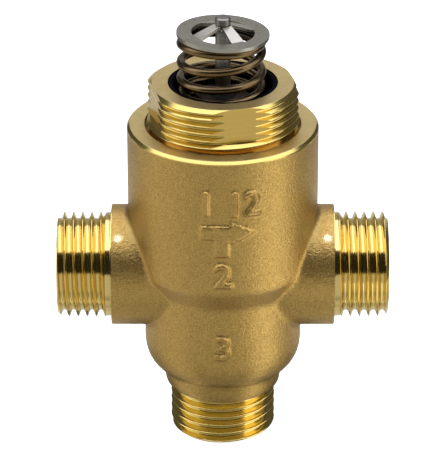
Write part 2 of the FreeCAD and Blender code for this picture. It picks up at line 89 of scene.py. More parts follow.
# Cast body
upper_radius = 18.8
lower_radius = 15.65
bottom_collar_radius = 11.68
bottom_collar_foot = 10.85
bottom_collar_round = ((0.0, 0.1), (0.36, 0.26), (0.58, 0.6), (0.72, 1.1), (0.8, 1.9))
bottom_curve = ((12.7, 14.4), (13.7, 15.05), (14.5, 16.0), (15.12, 17.2), (15.5, 18.6))
bottom_curve_end = 20.2
underside_fillet = 0.7
side_collar_radius = 12.05
side_collar_end = 22.15
step_round = 1.0
step_drop = 2.6
step_rise = 2.4
face_skin = 0.15
shoulder_chamfer = 0.55
shoulder_skin = 0.8
cast_voxel = 0.3

# Spare length that a later cut takes away
cut_off = 1.0

# Softened roots of the collars
junction_reach = 2.6
foot_reach = 2.2
junction_pull = 1.6
junction_rounds = 28

# Pipe threads: each tooth is half an outline, along the axis from the crest and the share of the height left
pipe_crest = 10.4775
pipe_root = 9.2
pipe_pitch = 1.814
side_tooth = ((0.05, 1.0), (0.14, 0.93), (0.5, 0.16), (0.6, 0.05), (0.72, 0.0))
bottom_root = 9.316
bottom_tooth = ((0.03, 1.0), (0.1, 0.975), (0.17, 0.91), (0.69, 0.06), (0.78, 0.012), (0.9, 0.0))
pipe_land_radius = 10.38
pipe_land_runout = ((0.2, 0.9), (0.5, 1.2))
side_land_length = 1.1
bottom_land_length = 0.2
pipe_chamfer = 0.75
pipe_bore = 7.5
pipe_mouth = 7.9
pipe_mouth_start = 0.3
pipe_mouth_end = 0.1
side_thread_length = 10.7
bottom_thread_length = 9.9
left_crest = 2.05
right_crest = 0.77
bottom_crest = 2.01
bottom_crest_turn = 90
facing_inset = 0.03
facing_edge = 0.04
thread_sink = 0.05
thread_play = 0.2

# Actuator neck
neck_crest = 15.0
neck_root = 14.08
neck_pitch = 1.5
neck_tooth = ((0.025, 1.0), (0.08, 0.975), (0.13, 0.91), (0.59, 0.05), (0.66, 0.01), (0.74, 0.0))
neck_crest_height = 70.78
neck_edge = ((15.2, 74.25), (14.7, 74.62), (13.85, 75.2))
neck_bore = 10.75
neck_bore_floor = 61.5
neck_core_radius = 13.0
neck_core_step = 0.05
neck_core_top = 67.5
neck_flats = 4
neck_flat_apothem = 13.74
neck_flat_turn = 14.0
neck_flat_floor = 68.03
neck_flat_cutter = (30.0, 4.0, 10.0)
undercut_floor = 65.8
undercut_radius = 13.6
undercut_mouth = 15.4
undercut_slope = 0.7
thread_start = 66.9
thread_lead = 0.1
thread_lead_rise = 0.4

# Spaces inside the body
lower_seat = 28.1
lower_seat_underside = 24.1
seat_bore = 6.0
chamber_radius = 8.7
seat_ledge = 45.4
seat_ring_radius = 9.6
deck = 48.1
upper_chamber_radius = 14.8
chamber_roof = 57.1
throat_radius = 9.8
bonnet_ledge = 58.6
bore_reach = 40.0
passage_inner_radius = 11.0
passage_half_angle = 50.0
passage_top = 50.1
passage_steps = 24

# Raised marks: numerals with their place across and above the port axis, and the flow arrow
mark_back = -10.0
mark_front = -22.0
mark_relief = 0.64
digit_marks = (("1", -3.2, 22.0), ("12", 4.6, 22.0), ("2", 0.0, 6.7), ("3", 0.0, -10.9))
digit_height = 5.0
digit_cap_share = 0.72
digit_boldness = 0.1
digit_curve_steps = 6
arrow_relief = 0.52
arrow_rise = 15.9
arrow_bar_start = -4.4
arrow_bar_half = 1.3
arrow_head_start = 1.7
arrow_head_half = 2.2
arrow_tip = 6.3
arrow_leg_left = -1.4
arrow_leg_right = 1.1
arrow_leg_drop = 4.9

# Moulded cup in the neck
cup_radius = 10.7
cup_bore = 9.6
cup_rim = 75.1
cup_edge = 0.2
cup_mouth = 0.3
cup_floor = 63.4
cup_flange = 59.4
cup_spigot_radius = 9.75
cup_spigot = 56.1
boss_radius = 6.2
boss_top = 70.4
boss_edge = 0.4
pocket_radius = 3.5
pocket_floor = 57.6
guide_radius = 1.55

# Spring: the drops are turns below where the top end lies flat, and how far down the wire is there
spring_mean_radius = 7.9
spring_wire_radius = 0.85
spring_bottom = 63.9
spring_top = 84.85
spring_shift = -0.3
spring_flat_angle = -102.0
spring_drops = (
    (0.0, 0.0), (0.1, 0.13), (0.2, 0.6), (0.33, 1.7), (0.5, 1.8), (0.72, 2.0), (1.0, 3.88), (2.0, 7.43),
    (3.0, 10.33), (4.0, 12.93), (5.0, 15.23), (6.0, 17.33), (7.0, 19.33))
spring_end_turn = 0.66

# Retainer and stem: the spokes' bends are inward and up from the ring, their tips outward and down from the groove
retainer_radius = 9.05
retainer_opening = 6.15
retainer_bottom = 84.93
retainer_top = 85.6
retainer_edge = 0.09
retainer_edge_angle = 40.0
retainer_tilt = 2.0
spoke_angles = (-60.0, 30.0, 120.0, 210.0)
spoke_width = 2.6
spoke_tip_width = 2.0
spoke_top = 87.2
spoke_root = 0.35
spoke_root_length = 0.6
spoke_bend = ((0.5, 0.0), (1.1, 0.25))
spoke_tip = ((0.55, 0.06), (0.05, 0.0))
stem_radius = 1.5
stem_groove_radius = 1.1
stem_top = 88.8
stem_edge = 0.25
stem_thin_radius = 1.2
groove_play = 0.05
groove_edge = 0.15
head_edge = 0.1

# Fineness of round shapes, and the angle up to which a piece's edges are shaded smooth
turn_steps = 144
thread_steps = 96
coil_steps = 40
wire_steps = 20
stem_steps = 48
usual_smoothing = 30.0
cast_smoothing = 40.0
neck_smoothing = 13.0
spring_smoothing = 50.0
retainer_smoothing = 18.0

# Finishes: tones between which a skin varies, and the roughness at its two ends
cast_tones = ((0.51, 0.322, 0.082), (0.59, 0.376, 0.103))
cast_speckles = ((0.32, 0.198, 0.048), (0.81, 0.535, 0.162))
cast_speckle_share = 0.6
cast_metallic = 0.9
cast_roughness = (0.42, 0.30)
# Painted shade: a darker tone in the pockets where the side collars' tops meet the body
pocket_shade_tone = (0.40, 0.295, 0.10)
# Painted highlight: a paler tone on a spot of each side collar, whose roughness spot_polish lowers
spot_highlight_tone = (0.95, 0.84, 0.50)
spot_polish = 0.15
side_thread_tones = ((0.81, 0.63, 0.23), (0.87, 0.69, 0.27))
bottom_thread_tones = ((0.81, 0.60, 0.168), (0.87, 0.66, 0.203))
pipe_thread_roughness = (0.09, 0.17)
neck_thread_tones = ((0.74, 0.55, 0.155), (0.80, 0.605, 0.185))
neck_thread_roughness = (0.11, 0.22)
# Painted shade in the neck's undercut, under the thread
undercut_shade_tone = (0.55, 0.36, 0.10)
flat_tones = ((0.815, 0.56, 0.14), (0.885, 0.61, 0.162))
faced_tones = ((0.665, 0.51, 0.212), (0.74, 0.576, 0.252))
faced_roughness = (0.38, 0.50)
sheet_tones = ((0.40, 0.375, 0.305), (0.455, 0.427, 0.35))
sheet_roughness = (0.26, 0.36)
# Painted sheen: the bent spokes are paler than the flat sheet
spoke_sheen_tone = (0.58, 0.55, 0.47)
stem_tones = ((0.27, 0.258, 0.228), (0.36, 0.345, 0.31))
stem_roughness = (0.26, 0.38)
wire_tones = ((0.145, 0.094, 0.042), (0.215, 0.148, 0.07))
# Painted shade on the wire's upper back, next to the retainer
wire_back_shade_tone = (0.05, 0.036, 0.024)
wire_roughness = (0.20, 0.28)
# Painted shade: the gland nut deep in the cup is near-black
gland_shade_tones = ((0.045, 0.034, 0.024), (0.085, 0.062, 0.04))
gland_roughness = (0.34, 0.48)
# Black plastic, darkened further as painted shade deep in the neck
moulding_black_and_shade_tone = (0.0016, 0.0016, 0.0034)
white_tone = (0.75, 0.74, 0.70)
rubber_tone = (0.012, 0.012, 0.012)
dull_paler = 1.3
dull_roughness_play = 0.08
skin_heights = (0.65, 1.15)
wire_heights = (0.55, 1.25)
speckle_heights = (0.32, 0.68)

# Where the finishes change, and where painted shade and painted highlights lie
spot_across = 20.6
spot_rise = 50.8
spot_fade = (1.05, 1.45)
pocket_across = (15.0, 18.9)
pocket_across_edge = 1.4
pocket_rise = (9.0, 16.5)
pocket_rise_edge = 3.0
faced_depth = 0.06
faced_rise = 0.04
faced_edge = 0.01
flat_depth = 0.05
flat_edge = 0.02
undercut_fade = (0.3, 0.1)
undercut_top_fade = (0.1, 0.2)
spoke_fade = (0.3, 0.05)
wire_back_fade = (-2.5, 1.0)
wire_back_drop = (5.5, 3.5)

# Studio light, by where the metal sees it
front_light = 0.02
floor_light = 0.55
back_light = 0.36
back_floor_light = 0.6
corner_light = 0.09
right_light = 1.4
left_light = 0.72
overhead_light = 1.75
overhead_tint = (0.98, 1.0, 1.15)
foot_light = 0.08
collar_shade_light = 0.3
side_patch_light = 1.5
corner_patch_light = 0.78
floor_glow = 0.86

# Studio directions: elevations, azimuths to the right from the front, and shares of the way up or down
overhead_front = 56.0
overhead_back = 40.0
floor_edge = 1.5
right_span = (53.0, 82.0)
left_span = (-108.0, -60.0)
back_floor_azimuth = 148.0
corner_span = (108.0, 157.0)
corner_top = 0.76
corner_foot = 0.15
back_foot = 0.72

# Studio floor, in metres: the shaded strip and foot under the valve, and the lit patches beside and behind it
floor_size = 8.0
floor_tone = 0.9
strip_slope = 1.15
strip_edge = (-0.010, -0.004)
strip_end = (0.028, 0.042)
foot_half_width = (0.018, 0.021)
foot_span = (-0.004, 0.03)
foot_edge = 0.002
patch_across = (0.04, 0.135)
patch_across_edge = 0.005
side_patch_span = (-0.09, -0.01)
side_patch_edge = 0.01
corner_patch_span = (0.005, 0.11)
corner_patch_edge = 0.015


def stand_clear():
    """Leave edit mode, with nothing selected."""
    if bpy.context.object and bpy.context.object.mode != "OBJECT":
        bpy.ops.object.mode_set(mode="OBJECT")
    bpy.ops.object.select_all(action="DESELECT")


def take_up(piece):
    """Make one piece the active and only selected object."""
    stand_clear()
    bpy.context.view_layer.objects.active = piece
    piece.select_set(True)


def edit_all(piece):
    """Open a piece in edit mode with everything selected."""
    take_up(piece)
    bpy.ops.object.mode_set(mode="EDIT")
    bpy.ops.mesh.select_mode(type="VERT")
    bpy.ops.mesh.select_all(action="SELECT")


def close_up(piece, merge=1e-4):
    """Merge doubles, point the faces outwards and leave edit mode."""
    edit_all(piece)
    bpy.ops.mesh.remove_doubles(threshold=merge)
    bpy.ops.mesh.normals_make_consistent(inside=False)
    stand_clear()
    return piece


def settle(piece):
    """Put a piece's place, turn and scale into its mesh."""
    take_up(piece)
    bpy.ops.object.transform_apply(location=True, rotation=True, scale=True)
    stand_clear()
    return piece


def turned(name, corners, steps=turn_steps, hollow=False):
    """Turn an outline of (radius, height) corners about the Z axis; a hollow outline closes on itself."""
    stand_clear()
    radius, height = corners[0]
    bpy.ops.mesh.primitive_circle_add(vertices=steps, radius=radius, fill_type="NOTHING", location=(0, 0, height))
    piece = bpy.context.object
    piece.name = name
    settle(piece)
    edit_all(piece)
    for next_radius, next_height in corners[1:] + (corners[:1] if hollow else []):
        bpy.ops.mesh.extrude_edges_move(TRANSFORM_OT_translate={"value": (0, 0, next_height - height)})
        scale = next_radius / radius
        bpy.ops.transform.resize(value=(scale, scale, 1), center_override=(0, 0, next_height))
        radius, height = next_radius, next_height
    if not hollow:
        bpy.ops.mesh.select_all(action="SELECT")
        bpy.ops.mesh.fill_holes(sides=0)
    return close_up(piece)


def ring_edges(piece, radius, height, slack=0.02):
    """Select the ring of edges at a radius and height, in edit mode."""
    edit_all(piece)
    bpy.ops.mesh.select_all(action="DESELECT")
    bpy.ops.object.mode_set(mode="OBJECT")
    for vertex in piece.data.vertices:
        near = abs(math.hypot(vertex.co.x, vertex.co.y) - radius) < slack
        vertex.select = near and abs(vertex.co.z - height) < slack
    bpy.ops.object.mode_set(mode="EDIT")


def round_ring(piece, radius, height, size, segments=6):
    """Round the ring of edges at a radius and height."""
    ring_edges(piece, radius, height)
    bpy.ops.mesh.bevel(offset=size, offset_type="OFFSET", segments=segments, affect="EDGES")
    stand_clear()


def apply_modifier(piece, kind, **values):
    """Add a modifier with these values and apply it."""
    take_up(piece)
    modifier = piece.modifiers.new(kind.lower(), kind)
    for key, value in values.items():
        setattr(modifier, key, value)
    bpy.ops.object.modifier_apply(modifier=modifier.name)
    stand_clear()


def combine(piece, tool, operation):
    """Cut, merge or intersect a piece with a tool, which is used up."""
    apply_modifier(piece, "BOOLEAN", operation=operation, solver="EXACT", object=tool)
    bpy.data.objects.remove(tool, do_unlink=True)
    return piece


def join(pieces):
    """Join several objects into the first."""
    take_up(pieces[0])
    for piece in pieces[1:]:
        piece.select_set(True)
    bpy.ops.object.join()
    stand_clear()
    return pieces[0]


def trim(piece, place, direction):
    """Cut off what lies beyond a plane and close the cut."""
    edit_all(piece)
    bpy.ops.mesh.bisect(plane_co=place, plane_no=direction, use_fill=True, clear_outer=True, threshold=1e-5)
    stand_clear()


def turn_to(piece, axis, degrees):
    """Turn a piece about an axis through the origin."""
    piece.rotation_euler = (0, 0, 0)
    setattr(piece.rotation_euler, axis.lower(), math.radians(degrees))
    settle(piece)


def move(piece, offset):
    """Move a piece by an offset."""
    piece.location = offset
    settle(piece)


def rod(name, radius, start, end, axis="Z"):
    """A round rod along an axis through the origin, with a middle ring so that it can be shaped."""
    low, high = sorted((start, end))
    piece = turned(name, [(radius, low), (radius, (low + high) / 2), (radius, high)])
    if axis == "X":
        turn_to(piece, "Y", 90)
    return piece


def finished(piece, body, slot, material, *replaced, angle=usual_smoothing):
    """Smooth a piece, bring it to metres and tie it to its body, finish and CAD nodes."""
    take_up(piece)
    piece.scale = (millimetre, millimetre, millimetre)
    settle(piece)
    take_up(piece)
    bpy.ops.object.shade_smooth_by_angle(angle=math.radians(angle))
    stand_clear()
    piece.data.materials.clear()
    piece.data.materials.append(material)
    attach(piece, body)
    if replaced:
        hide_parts(*replaced)
    return piece


def body_outline(grow=0.0):
    """Outline of the cast body's upright part, with some to cut off at both ends."""
    return [
        (bottom_collar_foot + grow, collar_bottom - cut_off),
        *((bottom_collar_foot + out + grow, collar_bottom + up) for out, up in bottom_collar_round),
        (bottom_collar_radius + grow, collar_top),
        *((radius + grow, height) for radius, height in bottom_curve),
        (lower_radius + grow, bottom_curve_end),
        (lower_radius + grow, port_axis - step_drop),
        (upper_radius + grow, port_axis + step_rise),
        (upper_radius + grow, shoulder + cut_off),
    ]


def upright_body(name, grow=0.0):
    """The cast body's upright part with its rounded bottom and step."""
    body = turned(name, body_outline(grow))
    round_ring(body, bottom_collar_radius + grow, collar_top, underside_fillet, 6)
    round_ring(body, lower_radius + grow, port_axis - step_drop, step_round, 5)
    round_ring(body, upper_radius + grow, port_axis + step_rise, step_round, 5)
    return body


def digit_mark(words, centre_x, centre_z):
    """Numerals as a slab that runs from inside the body out of its front."""
    stand_clear()
    bpy.ops.object.text_add(location=(0, 0, 0))
    mark = bpy.context.object
    mark.data.body = words
    mark.data.size = digit_height / digit_cap_share
    mark.data.align_x = "CENTER"
    mark.data.align_y = "CENTER"
    mark.data.extrude = (mark_back - mark_front) / 2
    mark.data.offset = digit_boldness
    mark.data.resolution_u = digit_curve_steps
    take_up(mark)
    bpy.ops.object.convert(target="MESH")
    mark = bpy.context.object
    turn_to(mark, "X", 90)
    xs = [vertex.co.x for vertex in mark.data.vertices]
    zs = [vertex.co.z for vertex in mark.data.vertices]
    middle = ((min(xs) + max(xs)) / 2, (min(zs) + max(zs)) / 2)
    move(mark, (centre_x - middle[0], (mark_back + mark_front) / 2, centre_z - middle[1]))
    return close_up(mark)


def slab(name, corners):
    """A flat outline of (x, z) corners as a slab that runs out of the body's front."""
    stand_clear()
    bpy.ops.mesh.primitive_circle_add(vertices=len(corners), radius=1, fill_type="NGON")
    piece = bpy.context.object
    piece.name = name
    for vertex, (x, z) in zip(piece.data.vertices, corners):
        vertex.co = (x, mark_back, z)
    edit_all(piece)
    bpy.ops.mesh.extrude_region_move(TRANSFORM_OT_translate={"value": (0, mark_front - mark_back, 0)})
    bpy.ops.mesh.select_all(action="SELECT")
    bpy.ops.mesh.fill_holes(sides=0)
    return close_up(piece)


def arrow_mark():
    """The flow sign: a T whose bar ends in an arrow head to the right."""
    z = port_axis + arrow_rise
    return slab("flow_arrow", [
        (arrow_bar_start, z + arrow_bar_half), (arrow_head_start, z + arrow_bar_half),
        (arrow_head_start, z + arrow_head_half), (arrow_tip, z), (arrow_head_start, z - arrow_head_half),
        (arrow_head_start, z - arrow_bar_half), (arrow_leg_right, z - arrow_bar_half),
        (arrow_leg_right, z - arrow_leg_drop), (arrow_leg_left, z - arrow_leg_drop),
        (arrow_leg_left, z - arrow_bar_half), (arrow_bar_start, z - arrow_bar_half),
    ])


def raised_marks():
    """All cast marks, cut to stand a little proud of the body."""
    digits = [digit_mark(words, x, port_axis + rise) for words, x, rise in digit_marks]
    marks = [combine(digit, upright_body("skin", mark_relief), "INTERSECT") for digit in digits]
    marks.append(combine(arrow_mark(), upright_body("skin", arrow_relief), "INTERSECT"))
    return marks


def soften_junction(casting):
    """Round the roots of the side collars and of the bottom collar, where they run into the upright body."""
    group = casting.vertex_groups.new(name="junction")
    for vertex in casting.data.vertices:
        x, y, z = vertex.co
        body_radius = lower_radius if z < port_axis else upper_radius
        from_body = abs(math.hypot(x, y) - body_radius)
        from_collar = abs(math.hypot(y, z - port_axis) - side_collar_radius)
        from_foot = math.hypot(math.hypot(x, y) - bottom_collar_radius, z - collar_top)
        weight = 1.0 - min(max(from_body, from_collar) / junction_reach, from_foot / foot_reach)
        if weight > 0:
            group.add([vertex.index], min(1.0, junction_pull * weight), "REPLACE")
    apply_modifier(casting, "SMOOTH", factor=0.5, iterations=junction_rounds, vertex_group="junction")
    casting.vertex_groups.clear()


def cavity_tools():
    """The spaces inside the body, as cutting tools."""
    stack = turned("stack", [
        (pipe_bore, -cut_off), (pipe_bore, lower_seat_underside), (seat_bore, lower_seat_underside),
        (seat_bore, lower_seat), (chamber_radius, lower_seat), (chamber_radius, seat_ledge),
        (seat_ring_radius, seat_ledge), (seat_ring_radius, deck), (upper_chamber_radius, deck),
        (upper_chamber_radius, chamber_roof), (throat_radius, chamber_roof), (throat_radius, bonnet_ledge),
        (neck_bore, bonnet_ledge), (neck_bore, shoulder + 3 * cut_off),
    ])
    right_bore = rod("right_bore", pipe_bore, 0.0, bore_reach, "X")
    left_bore = rod("left_bore", pipe_bore, -bore_reach, -passage_inner_radius, "X")
    for bore in (right_bore, left_bore):
        move(bore, (0, 0, port_axis))
    stand_clear()
    bpy.ops.mesh.primitive_plane_add(size=1)
    passage = bpy.context.object
    passage.name = "passage"
    middle = (passage_inner_radius + upper_chamber_radius) / 2
    width = upper_chamber_radius - passage_inner_radius
    height = passage_top - port_axis
    turn_to(passage, "X", 90)
    passage.scale = (width, 1, height)
    passage.location = (middle, 0, port_axis + height / 2)
    settle(passage)
    turn_to(passage, "Z", 180 - passage_half_angle)
    edit_all(passage)
    bpy.ops.mesh.spin(
        steps=passage_steps, angle=math.radians(-2 * passage_half_angle), center=(0, 0, 0), axis=(0, 0, 1))
    bpy.ops.mesh.select_all(action="SELECT")
    bpy.ops.mesh.fill_holes(sides=0)
    close_up(passage)
    return [stack, right_bore, left_bore, passage]


def body_casting(material):
    """The blasted casting, with soft edges where the mould made them and crisp ones where it is faced off."""
    casting = upright_body("body_casting")
    collar_reach = side_collar_end + cut_off
    collars = rod("collars", side_collar_radius, -collar_reach, collar_reach, "X")
    move(collars, (0, 0, port_axis))
    join([casting, collars] + raised_marks())
    apply_modifier(casting, "REMESH", mode="VOXEL", voxel_size=cast_voxel, adaptivity=0.0)
    apply_modifier(casting, "SMOOTH", factor=0.5, iterations=1)
    soften_junction(casting)
    trim(casting, (side_collar_end - face_skin, 0, 0), (1, 0, 0))
    trim(casting, (face_skin - side_collar_end, 0, 0), (-1, 0, 0))
    trim(casting, (0, 0, shoulder - shoulder_skin), (0, 0, 1))
    trim(casting, (0, 0, collar_bottom + face_skin), (0, 0, -1))
    for tool in cavity_tools():
        combine(casting, tool, "DIFFERENCE")
    return finished(casting, "housing", "cast_brass", material, "valve_body", angle=cast_smoothing)


def helical_thread(name, crest, root, pitch, tooth, start, end, crest_height):
    """A right-handed thread along Z from start to end, with a crest at crest_height on the +X side."""
    first = crest_height
    while first > start - 2 * pitch:
        first -= pitch
    corners = []
    for along, share in tooth:
        corners.append((root + share * (crest - root), first + along))
    for along, share in reversed(tooth):
        corners.append((root + share * (crest - root), first + pitch - along))
    corners.append((crest, first + pitch + tooth[0][0]))
    first = corners[0][1]
    stand_clear()
    bpy.ops.mesh.primitive_plane_add(size=1)
    piece = bpy.context.object
    piece.name = name
    edit_all(piece)
    bpy.ops.mesh.merge(type="CENTER")
    bpy.ops.transform.translate(value=(crest, 0, first))
    for (radius, height), (next_radius, next_height) in zip(corners, corners[1:]):
        bpy.ops.mesh.extrude_vertices_move(
            TRANSFORM_OT_translate={"value": (next_radius - radius, 0, next_height - height)})
    stand_clear()
    turns = math.ceil((end - first) / pitch) + 1
    apply_modifier(
        piece, "SCREW", axis="Z", angle=2 * math.pi, screw_offset=pitch, steps=thread_steps,
        render_steps=thread_steps, iterations=turns, use_merge_vertices=True, merge_threshold=1e-4,
        use_smooth_shade=True)
    close_up(piece)
    trim(piece, (0, 0, start), (0, 0, -1))
    trim(piece, (0, 0, end), (0, 0, 1))
    return close_up(piece)


def pipe_port(name, length, collar_radius, root, tooth, land, crest_height, crest_turn):
    """A machined pipe port along +Z from its collar face: facing, land, thread, end chamfer and bore."""
    thread = helical_thread("thread", pipe_crest, root, pipe_pitch, tooth, -thread_sink, length, crest_height)
    turn_to(thread, "Z", crest_turn)
    envelope = turned("envelope", [
        (pipe_crest + thread_play, -2 * thread_sink),
        (pipe_crest + thread_play, length - pipe_chamfer - thread_play), (pipe_crest - pipe_chamfer, length),
    ])
    combine(thread, envelope, "INTERSECT")
    port = turned(name, [
        (collar_radius, -face_skin), (collar_radius, -facing_edge / 2), (collar_radius - facing_edge, 0.0),
        (pipe_land_radius, 0.0), (pipe_land_radius, land),
        *((root - inward, land + along) for inward, along in pipe_land_runout),
    ])
    combine(port, thread, "UNION")
    bore = turned("bore", [
        (pipe_bore, -cut_off), (pipe_bore, length - pipe_mouth_start), (pipe_mouth, length + pipe_mouth_end),
        (pipe_mouth, length + cut_off),
    ])
    return combine(port, bore, "DIFFERENCE")


def side_port(name, direction, crest_height, material):
    """A side port, turned out along +X (1) or -X (-1)."""
    crest_turn = 180 if direction > 0 else 0
    port = pipe_port(
        name, side_thread_length, side_collar_radius - facing_inset, pipe_root, side_tooth, side_land_length,
        crest_height, crest_turn)
    turn_to(port, "Y", 90 * direction)
    move(port, (direction * side_collar_end, 0, port_axis))
    return finished(port, "housing", "turned_brass", material, "valve_body")


def bottom_port(material):
    """The bottom port, turned to point down."""
    port = pipe_port(
        "bottom_port", bottom_thread_length, bottom_collar_foot - facing_inset, bottom_root, bottom_tooth,
        bottom_land_length, bottom_crest, bottom_crest_turn)
    turn_to(port, "X", 180)
    move(port, (0, 0, collar_bottom))
    return finished(port, "housing", "turned_brass", material, "valve_body")


def machined_neck(material):
    """The threaded neck with its shoulder, undercut and four milled flats."""
    thread = helical_thread(
        "thread", neck_crest, neck_root, neck_pitch, neck_tooth, shoulder, neck_top, neck_crest_height)
    envelope = turned("envelope", [
        (undercut_radius, shoulder), (undercut_radius + thread_lead, thread_start - thread_lead),
        (neck_crest + thread_play, thread_start + thread_lead_rise), *neck_edge,
    ])
    combine(thread, envelope, "INTERSECT")
    neck = turned("machined_neck", [
        (upper_radius, shoulder - shoulder_skin), (upper_radius, shoulder - shoulder_chamfer),
        (upper_radius - shoulder_chamfer, shoulder), (undercut_mouth, shoulder),
        (undercut_mouth - undercut_slope, undercut_floor), (undercut_radius, undercut_floor),
        (undercut_radius, shoulder + neck_core_step), (neck_core_radius, shoulder + neck_core_step),
        (neck_core_radius, neck_core_top),
    ])
    combine(neck, thread, "UNION")
    _, depth, height = neck_flat_cutter
    for turn in range(neck_flats):
        stand_clear()
        bpy.ops.mesh.primitive_cube_add(size=1)
        cutter = bpy.context.object
        cutter.scale = neck_flat_cutter
        cutter.location = (0, -neck_flat_apothem - depth / 2, neck_flat_floor + height / 2)
        settle(cutter)
        turn_to(cutter, "Z", neck_flat_turn + 360 / neck_flats * turn)
        combine(neck, cutter, "DIFFERENCE")
    bore = rod("bore", neck_bore, neck_bore_floor, neck_top + cut_off)
    combine(neck, bore, "DIFFERENCE")
    return finished(neck, "housing", "turned_brass", material, "valve_body", angle=neck_smoothing)


def wire_height(turns_down):
    """Height of the wire's middle, this many turns below where the top end lies flat."""
    drop = 0.0 if turns_down < 0 else spring_drops[-1][1]
    for (turn, here), (next_turn, there) in zip(spring_drops, spring_drops[1:]):
        if turn <= turns_down < next_turn:
            drop = here + (there - here) * (turns_down - turn) / (next_turn - turn)
    return spring_top - spring_wire_radius - drop


def coil_spring(material):
    """The return spring: one wire wound closer towards the cup's floor, with both end turns lying flat."""
    stand_clear()
    laps = len(spring_drops)
    turns = spring_drops[-1][0] + 2 * spring_end_turn
    even_pitch = 4 * spring_wire_radius
    start_angle = spring_flat_angle - 360.0 * (turns - spring_end_turn)
    bpy.ops.mesh.primitive_circle_add(
        vertices=wire_steps, radius=spring_wire_radius, fill_type="NOTHING", rotation=(math.pi / 2, 0, 0),
        location=(spring_mean_radius, 0, 0))
    spring = bpy.context.object
    spring.name = "coil_spring"
    settle(spring)
    apply_modifier(
        spring, "SCREW", axis="Z", angle=2 * math.pi * turns / laps, screw_offset=even_pitch * turns / laps,
        steps=coil_steps, render_steps=coil_steps, iterations=laps, use_merge_vertices=True, merge_threshold=1e-4,
        use_smooth_shade=True)
    # Each turn goes from the even pitch to its own height, softened over a tenth of a turn each way
    nearby = [step / 100.0 for step in range(-10, 11, 2)]
    for vertex in spring.data.vertices:
        x, y, z = vertex.co
        part_turn = math.atan2(y, x) / (2 * math.pi)
        turn = part_turn + round(z / even_pitch - part_turn)
        down = turns - spring_end_turn - turn
        soft = [wire_height(down + step) for step in nearby]
        vertex.co.z = z - even_pitch * turn + sum(soft) / len(soft)
    turn_to(spring, "Z", start_angle)
    # The top leans with the retainer
    lean = math.tan(math.radians(retainer_tilt))
    for vertex in spring.data.vertices:
        share = min(1.0, max(0.0, (vertex.co.z - spring_bottom) / (spring_top - spring_bottom)))
        vertex.co.z -= lean * vertex.co.x * share * share
    edit_all(spring)
    bpy.ops.mesh.fill_holes(sides=0)
    close_up(spring)
    trim(spring, (0, 0, spring_bottom), (0, 0, -1))
    move(spring, (spring_shift, 0, 0))
    close_up(spring)
    finished(spring, "housing", "spring_steel", material, "return_spring", angle=spring_smoothing)
    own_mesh(spring)
    return spring


def moulded_cup(material):
    """The cup that lines the neck, with a boss for the stem seals."""
    cup = turned("moulded_cup", [
        (guide_radius, cup_spigot), (cup_spigot_radius, cup_spigot), (cup_spigot_radius, cup_flange),
        (cup_radius, cup_flange), (cup_radius, cup_rim - cup_edge), (cup_radius - cup_edge, cup_rim),
        (cup_bore + cup_mouth, cup_rim), (cup_bore, cup_rim - cup_mouth), (cup_bore, cup_floor),
        (boss_radius, cup_floor), (boss_radius, boss_top - boss_edge), (boss_radius - boss_edge, boss_top),
        (pocket_radius, boss_top), (pocket_radius, pocket_floor), (guide_radius, pocket_floor),
    ], hollow=True)
    return finished(cup, "housing", "black_moulding", material, "bonnet_cup")


def valve_stem(material):
    """The stem: thin where the plug sits on it, with a groove for the spokes under its head."""
    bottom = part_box("stem")[0][2] * metre
    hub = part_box("upper_plug")[1][2] * metre
    groove_bottom = spoke_top - (retainer_top - retainer_bottom) - groove_play
    groove_top = spoke_top + groove_play
    stem = turned("valve_stem", [
        (stem_thin_radius - stem_edge, bottom), (stem_thin_radius, bottom + stem_edge), (stem_thin_radius, hub),
        (stem_radius, hub), (stem_radius, groove_bottom - groove_edge), (stem_radius - groove_edge, groove_bottom),
        (stem_groove_radius, groove_bottom), (stem_groove_radius, groove_top),
        (stem_radius - head_edge, groove_top), (stem_radius, groove_top + head_edge),
        (stem_radius, stem_top - stem_edge), (stem_radius - stem_edge, stem_top),
    ], steps=stem_steps)
    return finished(stem, "moving_stem", "stainless_steel", material, "stem")


def retainer_spoke(angle):
    """One spoke: a strip that leaves the ring flat and bends up to the stem's groove."""
    stand_clear()
    thickness = retainer_top - retainer_bottom
    bpy.ops.mesh.primitive_plane_add(size=1)
    spoke = bpy.context.object
    spoke.scale = (spoke_root_length, spoke_width, 1)
    spoke.location = (retainer_opening + spoke_root, 0, retainer_bottom)
    settle(spoke)
    stops = [(retainer_opening - inward, retainer_bottom + up, spoke_width) for inward, up in spoke_bend]
    for outward, down in spoke_tip:
        stops.append((stem_groove_radius + outward, spoke_top - thickness - down, spoke_tip_width))
    edit_all(spoke)
    bpy.ops.mesh.select_all(action="DESELECT")
    bpy.ops.object.mode_set(mode="OBJECT")
    edge_x = min(vertex.co.x for vertex in spoke.data.vertices)
    for vertex in spoke.data.vertices:
        vertex.select = vertex.co.x < edge_x + 0.01
    bpy.ops.object.mode_set(mode="EDIT")
    here = Vector((edge_x, 0, retainer_bottom))
    width = spoke_width
    for x, z, next_width in stops:
        there = Vector((x, 0, z))
        bpy.ops.mesh.extrude_edges_move(TRANSFORM_OT_translate={"value": there - here})
        bpy.ops.transform.resize(value=(1, next_width / width, 1), center_override=there)
        here, width = there, next_width
    close_up(spoke)
    edit_all(spoke)
    bpy.ops.mesh.extrude_region_move(TRANSFORM_OT_translate={"value": (0, 0, thickness)})
    bpy.ops.mesh.select_all(action="SELECT")
    bpy.ops.mesh.fill_holes(sides=0)
    close_up(spoke)
    turn_to(spoke, "Z", angle)
    return spoke


